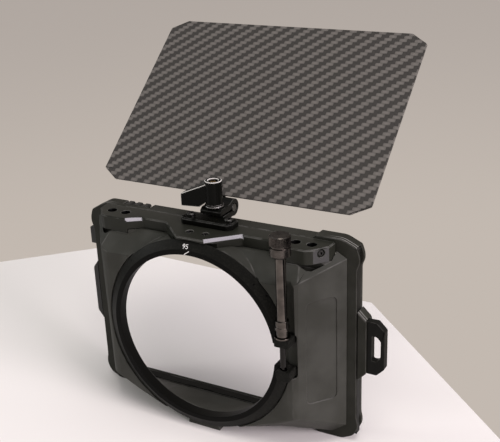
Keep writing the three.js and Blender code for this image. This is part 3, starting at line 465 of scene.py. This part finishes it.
INK_GREY = (0.62, 0.61, 0.58, 1)
INK_WHITE = (0.80, 0.79, 0.76, 1)
INK_COVER = 900
INK_HALF = 0.03 * MM
INK_LIFT = 0.03 * MM
INK_MERGE = 0.001 * MM
FIGURE_HEIGHT = 3.6 * MM
FIGURE_START = -3.9 * MM
FIGURE_FOOT = 0.8 * MM
TICK_PLACE = Vector((-1.15, -0.03, 48.9)) * MM
TICK_TURN = math.radians(54)
TICK_WIDTH = 0.40 * MM
TICK_LENGTH = 4.0 * MM
CONE_RISE = 2.7
CONE_RUN = 4.7
CONE_SLOPE = math.hypot(CONE_RISE, CONE_RUN)


def ink_finish():
    """White printing ink that covers the black unevenly."""
    finish = Finish("white_ink")
    cover = finish.noise(INK_COVER, detail=3)
    finish.set(base_color=finish.mix(cover.smooth(0.3, 0.7), INK_GREY, INK_WHITE))
    finish.set(roughness=0.45 + cover.sway(0.2))
    finish.bump(cover, distance=0.004 * MM, strength=0.3)
    return finish.material


def on_cone(along, up):
    """A point on the collar's cone: along its rim and up its slope, from the land's edge."""
    radius = COLLAR_FLAT + up * CONE_RUN / CONE_SLOPE + INK_LIFT
    depth = up * CONE_RISE / CONE_SLOPE - INK_LIFT
    turn = along / radius
    return LENS_AXIS + Vector((radius * math.sin(turn), depth, radius * math.cos(turn)))


def printed(words, height, start, up):
    """Figures as a thin film that follows the cone."""
    letters = bpy.data.curves.new("figures", "FONT")
    letters.body = words
    letters.size = height
    letters.extrude = INK_HALF
    figures = added("figures", letters)
    film = merged(final_mesh(figures), INK_MERGE)
    bpy.data.objects.remove(figures)
    for vertex in film.verts:
        across, high, thick = vertex.co
        vertex.co = on_cone(start + across, up + high) - Vector((0, thick, 0))
    return film


ink = ink_finish()
bore_number = mesh_piece(
    "bore_number", printed("95", FIGURE_HEIGHT, FIGURE_START, FIGURE_FOOT), ink)
tick = bmesh.new()
bmesh.ops.create_cube(tick, size=1, matrix=(
    Matrix.Translation(LENS_AXIS + TICK_PLACE)
    @ Matrix.Rotation(TICK_TURN, 4, "Y")
    @ Matrix.Diagonal((TICK_WIDTH, 2 * INK_HALF, TICK_LENGTH, 1))))
index_tick = mesh_piece("index_tick", tick, ink)
for print_film in (bore_number, index_tick):
    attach(print_film, "box")

# Clamp screw: a long steel screw, burnished to a brown black, that draws the collar's lugs
# together. Its knob is turned from the same bar and knurled round the top, and a washer keeps the
# shoulder off the lug.
BURNISHED = (0.100, 0.088, 0.078, 1)
BURNISHED_KNOB = (0.085, 0.075, 0.067, 1)
BELOW_LUG_BLACK = (0.022, 0.021, 0.020, 1)
STEM_EDGE = 0.15 * MM
WASHER_EDGE = 0.1 * MM
TOOL_MARKS = (400, 400, 2600)
STEM_MARKS = (300, 300, 3000)
METAL_CLOUD = 240
METAL_SHADE = 0.62


def streaks(finish, scales, vector=None):
    """A noise with a scale of its own along each axis, as tools and fibres leave it."""
    drawn = finish.node("ShaderNodeVectorMath", {"operation": "MULTIPLY"}, {
        0: vector or finish.place(), 1: scales})
    return finish.noise(1, vector=drawn)


def metal(name, colour, rough, marked=TOOL_MARKS):
    """Bare or blackened metal with faint marks of the tool that turned it."""
    finish = Finish(name, metallic=1)
    marks = streaks(finish, marked)
    cloud = finish.noise(METAL_CLOUD)
    shade = (*(channel * METAL_SHADE for channel in colour[:3]), 1)
    finish.set(base_color=finish.mix(cloud.smooth(0.3, 0.7), shade, colour))
    finish.set(roughness=rough + marks.sway(0.22))
    finish.bump(marks, distance=0.006 * MM, strength=0.5)
    return finish


def screw_finish():
    """Burnished along the stem, and painted darker from the upper lug down."""
    finish = metal("burnished", BURNISHED, rough=0.12, marked=STEM_MARKS)
    _, _, up = finish.parts(finish.place())
    lug_top = min(vertex.co.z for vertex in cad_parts["clamp_washer"].data.vertices)
    # The stem is painted darker from the upper lug down.
    finish.paint_over(up < lug_top, BELOW_LUG_BLACK)
    return finish.material


SOFT_ANGLE = math.radians(32)
INPUT_KINDS = {"Place": "Vector", "Turn": "Rotation", "Material": "Material"}


class Shaper(Nodes):
    """A Geometry Nodes group with named inputs that ends in one real mesh in one material."""

    def __init__(self, name, lengths, counts=()):
        super().__init__(bpy.data.node_groups.new(name, "GeometryNodeTree"))
        sides = self.tree.interface
        kinds = {**dict.fromkeys(lengths, "Float"), **dict.fromkeys(counts, "Int"), **INPUT_KINDS}
        for label, kind in kinds.items():
            sides.new_socket(label, in_out="INPUT", socket_type=f"NodeSocket{kind}")
        sides.new_socket("Shape", in_out="OUTPUT", socket_type="NodeSocketGeometry")
        outputs = self.tree.nodes.new("NodeGroupInput").outputs
        self.given = {socket.name: Wire(self, socket) for socket in outputs}

    def rod(self, radius, low, high, sides=40, tip=None):
        """An upright cylinder from one height to another, or a cone where the tip is given."""
        cone = self.node("GeometryNodeMeshCone", {}, {
            "Vertices": sides, "Radius Bottom": radius, "Radius Top": tip or radius,
            "Depth": high - low})
        lift = self.node("ShaderNodeCombineXYZ", {}, {"Z": low})
        return self.node("GeometryNodeTransform", {}, {"Geometry": cone, "Translation": lift})

    def combined(self, operation, *shapes):
        sockets = {1: list(shapes)}
        return self.node("GeometryNodeMeshBoolean", {"operation": operation}, sockets)

    def bored(self, shape, hole):
        sockets = {0: shape, 1: hole}
        return self.node("GeometryNodeMeshBoolean", {"operation": "DIFFERENCE"}, sockets)

    def finished(self, *shapes):
        """The group's end: its shapes together, put in their place as a real mesh and painted."""
        whole = self.node("GeometryNodeJoinGeometry", {}, {0: list(shapes)})
        placed = self.node("GeometryNodeTransform", {}, {
            "Geometry": whole, "Translation": self.given["Place"], "Rotation": self.given["Turn"]})
        real = self.node("GeometryNodeRealizeInstances", {}, {"Geometry": placed})
        painted = self.node("GeometryNodeSetMaterial", {}, {
            "Geometry": real, "Material": self.given["Material"]})
        self.feed(self.tree.nodes.new("NodeGroupOutput").inputs[0], painted)
        return self

    def made(self, name, **values):
        """The group's shape with these inputs, as a mesh piece."""
        piece = added(name, bpy.data.meshes.new(name))
        modifier = piece.modifiers.new("shape", "NODES")
        modifier.node_group = self.tree
        for item in self.tree.interface.items_tree:
            if item.in_out == "INPUT":
                modifier[item.identifier] = values[item.name.lower().replace(" ", "_")]
        bpy.context.view_layer.update()
        applied(piece)
        piece.data.shade_smooth()
        piece.data.set_sharp_from_angle(angle=SOFT_ANGLE)
        return piece


KNOB_FOOT = LENS_AXIS + Vector((52.8, -0.6, 57.2)) * MM
KNOB_SIDES = 64


def knurled_knob():
    """A knob that stands on height zero: a skirt, a groove and a knurled grip with a bevel."""
    shaper = Shaper("knurled_knob", (
        "Radius", "Height", "Grip Height", "Groove Height", "Lead", "Knurl Radius", "Bore Radius",
        "Bore Depth"), ("Knurls",))
    given = shaper.given
    radius, height, lead, knurl = (
        given[label] for label in ("Radius", "Height", "Lead", "Knurl Radius"))
    spare = 0.5 * MM
    grip = height - given["Grip Height"]
    groove = grip - given["Groove Height"]
    core = radius - knurl
    band = height - lead * 0.5
    cap = core - lead * 0.5
    above = height + spare
    foot = radius - lead
    skirt = shaper.combined(
        "INTERSECT", shaper.rod(radius, -spare, groove, KNOB_SIDES),
        shaper.rod(foot, 0, above, KNOB_SIDES, tip=foot + above))
    middle = shaper.rod(core - knurl, groove - spare, band, KNOB_SIDES)
    top = shaper.combined(
        "INTERSECT", shaper.rod(core, grip, above, KNOB_SIDES),
        shaper.rod(cap + height, 0, height, KNOB_SIDES, tip=cap))
    hole = shaper.rod(given["Bore Radius"], -spare, given["Bore Depth"], KNOB_SIDES // 2)
    body = shaper.bored(shaper.combined("UNION", skirt, middle, top), hole)
    ring = shaper.node("GeometryNodeMeshCircle", {}, {"Vertices": given["Knurls"], "Radius": core})
    knurls = shaper.node("GeometryNodeInstanceOnPoints", {}, {
        "Points": ring, "Instance": shaper.rod(knurl, grip, band, sides=6)})
    return shaper.finished(body, knurls)


burnished = screw_finish()
rounded("clamp_screw", "thumb_screw", burnished, STEM_EDGE)
knob = knurled_knob().made(
    "knob_turned", radius=5.35 * MM, height=11.2 * MM, grip_height=5.0 * MM,
    groove_height=1.1 * MM, lead=1.0 * MM, knurl_radius=0.33 * MM, bore_radius=2.3 * MM,
    bore_depth=6.3 * MM, knurls=44, place=KNOB_FOOT, turn=(0, 0, 0),
    material=metal("knurled", BURNISHED_KNOB, rough=0.28).material)
standing_for(knob, "screw_knob", "thumb_screw")
rounded("clamp_washer", "box", burnished, WASHER_EDGE)

# Small trim: the cap of the slot, the release button and the ribbed lock slide are moulded in a
# blacker, slightly glossier plastic than the housing, and clip or slide into the front frame.
TRIM_BLACK = (0.012, 0.012, 0.011, 1)
trim = satin_black("trim_black", TRIM_BLACK, rough=0.40, rub=0.25).material
rounded("slot_cap", "box", trim, MOULDED_EDGE)
rounded("tray_release_button", "button", trim, TURNED_EDGE)
rounded("tray_lock_slide", "lock", trim, TURNED_EDGE)

# Top plate: milled aluminium in black anodising that looks olive against the light, screwed to the
# housing. Two ramps were milled after the bath, so bare metal shows there. The filter tray is sheet
# aluminium, anodised a deeper black.
PLATE_EDGE = 0.3 * MM
PLATE = (0.015, 0.0155, 0.0115, 1)
PLATE_WORN = (0.22, 0.215, 0.20, 1)
PLATE_TOP = 56.7 * MM
RAMP_WIDTH = 1.5 * MM
RAMP_SPARE = 1.0 * MM
RAMP_SHARE = 0.6
RAMP_METAL = (0.33, 0.32, 0.34, 1)
RAMPS = [
    [LENS_AXIS + Vector((x * MM, y * MM, PLATE_TOP)) for x, y in ends]
    for ends in (((8.43, 1.88), (23.6, 15.98)), ((-45.9, 10.2), (-38.2, 15.4)))]
HOLE_MIDDLE = 55.95 * MM
HOLE_APART = 4.45 * MM
HOLE_ALONG = 10.8 * MM
HOLE_RADIUS = 2.62 * MM
CORNER_OUT = Vector((9.5, -7.5, 0))
CORNER_PAINTED_SHEEN = 0.12
SLOPE_COSINE = 0.97
CORNER_COSINE = 0.99


def ramp_cutter(start, end):
    """A prism that mills a broad sloping ramp along one of the plate's slanted top edges."""
    along = (end - start).normalized()
    inward = Vector((-along.y, along.x, 0))
    outline = (
        (RAMP_WIDTH, 0), (-RAMP_SPARE, RAMP_WIDTH + RAMP_SPARE),
        (-RAMP_SPARE, -RAMP_SPARE), (RAMP_WIDTH, -RAMP_SPARE))
    prism = bmesh.new()
    for place in (start, end):
        for gone, drop in outline:
            prism.verts.new(place + inward * gone - Vector((0, 0, drop)))
    bmesh.ops.convex_hull(prism, input=prism.verts)
    bmesh.ops.recalc_face_normals(prism, faces=prism.faces)
    return mesh_piece("ramp_cutter", prism)


def plate_finish():
    """Black anodising; bare ramps; painted sheen on the corner faces; painted shade in the
    accessory holes.
    """
    finish = satin_black(
        "plate_anodised", PLATE, rough=0.42, worn=PLATE_WORN, rub=0.35, sheen=0.14)
    across, along, _ = finish.parts(finish.place())
    aside = abs(abs(across) - HOLE_MIDDLE) - HOLE_APART
    # The bare metal of the ramps, and the painted sheen of the corner faces.
    finish.paint_over(finish.attribute("bare") * 0.9, RAMP_METAL)
    # Painted shade: the accessory holes are painted near black.
    finish.paint_over(apart(aside, along - HOLE_ALONG) < HOLE_RADIUS, PAINTED_SHADE_BLACK)
    return finish.material


def mark_bare_and_sheen(plate):
    """The attribute for bare metal on the ramps, and for a faint painted sheen on the corner faces.
    """
    bare = plate.data.attributes.new("bare", "FLOAT", "FACE").data
    corner_out = CORNER_OUT.normalized()
    for face in plate.data.polygons:
        for start, end in RAMPS:
            along = (end - start).normalized()
            slope = (Vector((along.y, -along.x, 0)) + Vector((0, 0, 1))).normalized()
            near = (face.center - (start + end) / 2).length < (end - start).length * RAMP_SHARE
            if near and face.normal.dot(slope) > SLOPE_COSINE:
                bare[face.index].value = 1
        outward = Vector((abs(face.normal.x), face.normal.y, face.normal.z))
        # Painted sheen: corner faces that turn out and back get a faint share of the ramps' metal
        # colour.
        if outward.dot(corner_out) > CORNER_COSINE and face.center.z > LENS_AXIS.z:
            bare[face.index].value = CORNER_PAINTED_SHEEN


cutters = [ramp_cutter(start, end) for start, end in RAMPS]
mark_bare_and_sheen(rounded("top_plate", "box", plate_finish(), PLATE_EDGE, cutters=cutters))

TRAY_EDGE = 0.2 * MM
TRAY_BLACK = (0.006, 0.006, 0.005, 1)
tray_black = satin_black("tray_anodised", TRAY_BLACK, rough=0.45, rub=0.6, sheen=0.08).material
rounded("filter_tray", "tray", tray_black, TRAY_EDGE)

# Flag hinge: the foot bar with its split clamp, the lever and the flag's bracket are machined and
# dipped in a glossy black. The lever's rounded edges are painted near white along their whole
# length as a painted highlight, most on those that face up.
HINGE_EDGE = 0.3 * MM
LEVER_EDGE = 0.42 * MM
HINGE_BLACK = (0.003, 0.003, 0.0024, 1)
HINGE_WORN = (0.12, 0.12, 0.11, 1)
LEVER_PAINTED_HIGHLIGHT = (0.62, 0.60, 0.56, 1)
gloss = satin_black(
    "hinge_black", HINGE_BLACK, rough=0.28, worn=HINGE_WORN, rub=0.35, sheen=0.06).material
# Painted highlight: near white on all of the lever's rounded edges, with hardly any patches left
# out.
highlit_lever = satin_black(
    "lever_black", HINGE_BLACK, rough=0.24, worn=LEVER_PAINTED_HIGHLIGHT, rub=1.1, sheen=0.05,
    patchy=0.1).material
rounded("hinge_base", "box", gloss, HINGE_EDGE)
rounded("clamp_lever", "lever", highlit_lever, LEVER_EDGE, whole=True)
rounded("flag_bracket", "flag", gloss, TURNED_EDGE)

# Flag: two plies of carbon twill under a satin resin, trimmed with cut corners and screwed to its
# bracket. The weft floats carry a painted sheen and the warp painted shade, as the fibres' lie
# to the light makes them, and each tow's crown is painted lighter, so the twill's steps climb to
# the right.
FLAG_EDGE = 0.25 * MM
FLAG_TILT = math.radians(39.6)
HINGE = LENS_AXIS + Vector((0, 38, 61.4)) * MM
TOW = 2.195 * MM
FIBRE_ACROSS = 18
FIBRE_ALONG = 0.8
WARP_PAINTED_SHADE = (0.019, 0.017, 0.014, 1)
WARP_PAINTED_SHADE_CROWN = (0.035, 0.031, 0.027, 1)
WEFT_PAINTED_SHEEN = (0.044, 0.040, 0.035, 1)
WEFT_PAINTED_SHEEN_CROWN = (0.136, 0.123, 0.110, 1)


def crowned(aside, passed):
    """How high a tow stands: crowned across its width, and bowed along its float."""
    return (1 - abs(aside * 2 - 1) ** 2) * 0.5 + (passed * math.pi).sine() * 0.5


def carbon_twill():
    """Tows over two and under two, crowned, bowed and fibred; weft painted with sheen, warp with
    shade.
    """
    finish = Finish("carbon_twill", coat_weight=0.08, coat_roughness=0.35, specular_ior_level=0.25)
    turned = finish.node("ShaderNodeMapping", {"vector_type": "TEXTURE"}, {
        "Vector": finish.place(), "Location": HINGE, "Rotation": (FLAG_TILT, 0, 0),
        "Scale": (TOW, TOW, TOW)})
    across, along, _ = finish.parts(turned)
    column, row = across.floor(), along.floor()
    warp = (column - along + 1) % 4 / 2
    weft = ((across - row) % 4 - 2) / 2
    on_top = warp < 1
    under = 1 - on_top
    warp_crown = crowned(across - column, warp)
    weft_crown = crowned(along - row, weft)
    fibre = (
        on_top * streaks(finish, (FIBRE_ACROSS, FIBRE_ALONG, 1), turned)
        + under * streaks(finish, (FIBRE_ALONG, FIBRE_ACROSS, 1), turned))
    # Painted shade on the warp and painted sheen on the weft, lighter on each tow's crown as a
    # painted highlight.
    dark = finish.mix(warp_crown * 0.6 + fibre * 0.4, WARP_PAINTED_SHADE, WARP_PAINTED_SHADE_CROWN)
    light = finish.mix(weft_crown * 0.7 + fibre * 0.3, WEFT_PAINTED_SHEEN, WEFT_PAINTED_SHEEN_CROWN)
    crown = on_top * warp_crown + under * weft_crown
    finish.set(base_color=finish.mix(on_top, light, dark))
    finish.set(roughness=0.42 + on_top * 0.08 + fibre.sway(0.14))
    finish.bump(crown * 0.8 + fibre * 0.2, distance=0.05 * MM, strength=0.7)
    return finish.material


rounded("flag_sheet", "flag", carbon_twill(), FLAG_EDGE)

# Screws: socket screws of blackened steel hold the plate, the foot bar and the flag, and a brass
# one the lever. One Geometry Nodes group makes them all: a chamfered head, a hexagon socket and a
# shank. The nuts, the lever's washer and the hinge's pin are steel too.
STEEL = (0.10, 0.098, 0.092, 1)
WASHER_STEEL = (0.30, 0.29, 0.28, 1)
BRASS = (0.60, 0.43, 0.21, 1)
STEEL_EDGE = 0.2 * MM
THIN_EDGE = 0.15 * MM
HEAD_CHAMFER = 0.25 * MM
SOCKET_DEPTH = 0.8
WITHIN_HEAD = 0.99
WITHIN_SHANK = 0.98
SHANK_END = 0.2 * MM
SHANK_LEAST = 0.3 * MM


def socket_screw_group():
    """A screw along +Z whose head's top is at height zero."""
    shaper = Shaper("socket_screw", (
        "Head Radius", "Head Height", "Chamfer", "Socket Radius", "Socket Depth", "Shank Radius",
        "Length"))
    given = shaper.given
    spare = 1 * MM
    seat = given["Head Height"] * -1
    low = seat - spare
    tip = given["Head Radius"] - given["Chamfer"]
    blank = shaper.combined(
        "INTERSECT", shaper.rod(given["Head Radius"], seat, spare),
        shaper.rod(tip - low, low, 0, tip=tip))
    socket = shaper.rod(given["Socket Radius"], given["Socket Depth"] * -1, spare, sides=6)
    shank = shaper.rod(given["Shank Radius"], given["Length"] * -1, seat)
    return shaper.finished(shaper.bored(blank, socket), shank)


def socket_screw(node, body, material, head, axis=(0, 0, 1), socket=0.5):
    """A socket screw in the place of a CAD screw, as wide and as long as it is."""
    axis = Vector(axis).normalized()
    corners = [vertex.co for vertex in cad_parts[node].data.vertices]
    heights = [corner.dot(axis) for corner in corners]
    top, low = max(heights), min(heights)
    rims = [corner for corner, height in zip(corners, heights) if top - height < head]
    middle = sum(rims, Vector()) / len(rims)
    place = middle + axis * (top - middle.dot(axis))
    radii = [(corner - place - axis * (corner - place).dot(axis)).length for corner in corners]
    shank = min(
        radius for radius, height in zip(radii, heights)
        if height < low + SHANK_END and radius > SHANK_LEAST)
    piece = screw_group.made(
        f"{node}_turned", head_radius=max(radii) * WITHIN_HEAD, head_height=head,
        chamfer=HEAD_CHAMFER, socket_radius=max(radii) * socket, socket_depth=head * SOCKET_DEPTH,
        shank_radius=shank * WITHIN_SHANK, length=top - low, place=place,
        turn=axis.to_track_quat("Z", "Y").to_euler(), material=material)
    return standing_for(piece, node, body)


screw_group = socket_screw_group()
steel = metal("screw_steel", STEEL, rough=0.36).material
for side, hand in (("right", 1), ("left", -1)):
    out = (CORNER_OUT.x * hand, CORNER_OUT.y, 0)
    socket_screw(f"plate_screw_{side}", "box", steel, head=0.7 * MM)
    socket_screw(f"rail_screw_{side}", "box", steel, head=0.9 * MM)
    socket_screw(f"corner_screw_{side}", "box", steel, head=1.0 * MM, axis=out)
flag_up = Matrix.Rotation(FLAG_TILT, 3, "X") @ Vector((0, 0, 1))
for number in (1, 2):
    socket_screw(f"flag_screw_{number}", "flag", steel, head=0.8 * MM, axis=flag_up)
    rounded(f"flag_nut_{number}", "flag", steel, STEEL_EDGE)
brass = metal("screw_brass", BRASS, rough=0.34).material
socket_screw("lever_screw", "box", brass, head=1.2 * MM, socket=0.45)
washer_steel = metal("washer_steel", WASHER_STEEL, rough=0.28).material
rounded("lever_washer", "box", washer_steel, THIN_EDGE)
rounded("hinge_pin", "flag", steel, STEEL_EDGE)

# Leaf spring: a thin strip of bright spring steel, bent to a shallow bow, that pushes the release
# button out. It stands in the room behind the button, where no side shows it.
SPRING_STEEL = (0.45, 0.45, 0.44, 1)
SPRING_EDGE = 0.05 * MM
spring_steel = metal("spring_steel", SPRING_STEEL, rough=0.30).material
rounded("button_spring", "box", spring_steel, SPRING_EDGE)

# Table and light: a pale matt table top that ends in front of a pale wall, under three broad soft
# lamps. The wall is the world's colour, for the camera and for gloss that looks towards it. To all
# else the world is light from overhead and a dim room behind the camera.
TABLE_CORNERS = ((-3, -3), (3.187, -3), (0.03, 0.173), (-0.199, 0.182), (-3, -2.532))
TABLE_PALE = (0.80, 0.765, 0.735, 1)
table_mesh = bpy.data.meshes.new("table_top")
table_mesh.from_pydata([(x, y, 0) for x, y in TABLE_CORNERS], [], [range(len(TABLE_CORNERS))])
table_mesh.materials.append(Finish("table_top", base_color=TABLE_PALE, roughness=0.6).material)
added("table_top", table_mesh)

LIT_POINT = Vector((0, 0, 0.1))
LAMPS = (
    ("lamp_right", (1.4, -0.35, 0.6), (0.8, 0.7), 28, (1.0, 0.91, 0.98)),
    ("lamp_left", (-1.3, -0.55, 0.6), (0.4, 0.8), 7, (0.97, 0.99, 0.96)),
    ("lamp_top", (0.35, -0.25, 1.6), (0.8, 0.6), 8, (1.0, 0.97, 0.93)))
for name, place, size, watts, colour in LAMPS:
    light = bpy.data.lights.new(name, "AREA")
    light.shape = "RECTANGLE"
    light.size, light.size_y = size
    light.energy = watts
    light.color = colour
    lamp = added(name, light)
    lamp.location = place
    lamp.rotation_euler = (LIT_POINT - Vector(place)).to_track_quat("-Z", "Y").to_euler()

WALL_LOW = (0.545, 0.485, 0.435, 1)
WALL_HIGH = (0.435, 0.388, 0.355, 1)
ROOM_COLOUR = (0.98, 0.97, 1.0, 1)
ROOM_DARK = 0.06
ROOM_LIGHT = 0.60
ROOM_LEAN = 0.25


def room_light(world):
    """A wall to be seen and mirrored, and a room's soft light for everything else."""
    world.use_nodes = True
    room = Nodes(world.node_tree)
    _, ahead, up = room.parts(room.node("ShaderNodeTexCoord", output="Generated"))
    overhead = (ahead * ROOM_LEAN + up).smooth(-0.25, 0.9)
    bright = ROOM_DARK + (ROOM_LIGHT - ROOM_DARK) * overhead
    mirrored = room.node("ShaderNodeLightPath", output="Is Glossy Ray") * ahead.smooth(0.3, 0.7)
    seen = room.node("ShaderNodeLightPath", output="Is Camera Ray") + mirrored
    wall = room.mix(up.smooth(-0.40, -0.12), WALL_LOW, WALL_HIGH)
    sky = room.tree.nodes["Background"].inputs
    room.feed(sky["Color"], room.mix(seen, ROOM_COLOUR, wall))
    room.feed(sky["Strength"], seen + (1 - seen) * bright)


bpy.context.scene.world = bpy.data.worlds.new("room")
room_light(bpy.context.scene.world)

# Camera: the photograph's place, direction and lens, worked out from the ellipse of the bore, the
# straight edges of the frame and the level top plate.
CAMERA_PLACE = Vector((0.23561, -0.36473, 0.29557))
CAMERA_AZIMUTH = math.radians(29.16)
CAMERA_ELEVATION = math.radians(22.01)
CAMERA_ROLL = math.radians(-2.34)
CAMERA_LENS = 65.99
CAMERA_SENSOR = 36
camera = added("camera", bpy.data.cameras.new("camera"))
camera.data.lens = CAMERA_LENS
camera.data.sensor_width = CAMERA_SENSOR
camera.data.clip_start = 0.01
camera.matrix_world = (
    Matrix.Translation(CAMERA_PLACE)
    @ Matrix.Rotation(CAMERA_AZIMUTH, 4, "Z")
    @ Matrix.Rotation(math.pi / 2 - CAMERA_ELEVATION, 4, "X")
    @ Matrix.Rotation(CAMERA_ROLL, 4, "Z"))
bpy.context.scene.camera = camera
bpy.context.scene.view_settings.view_transform = "Standard"
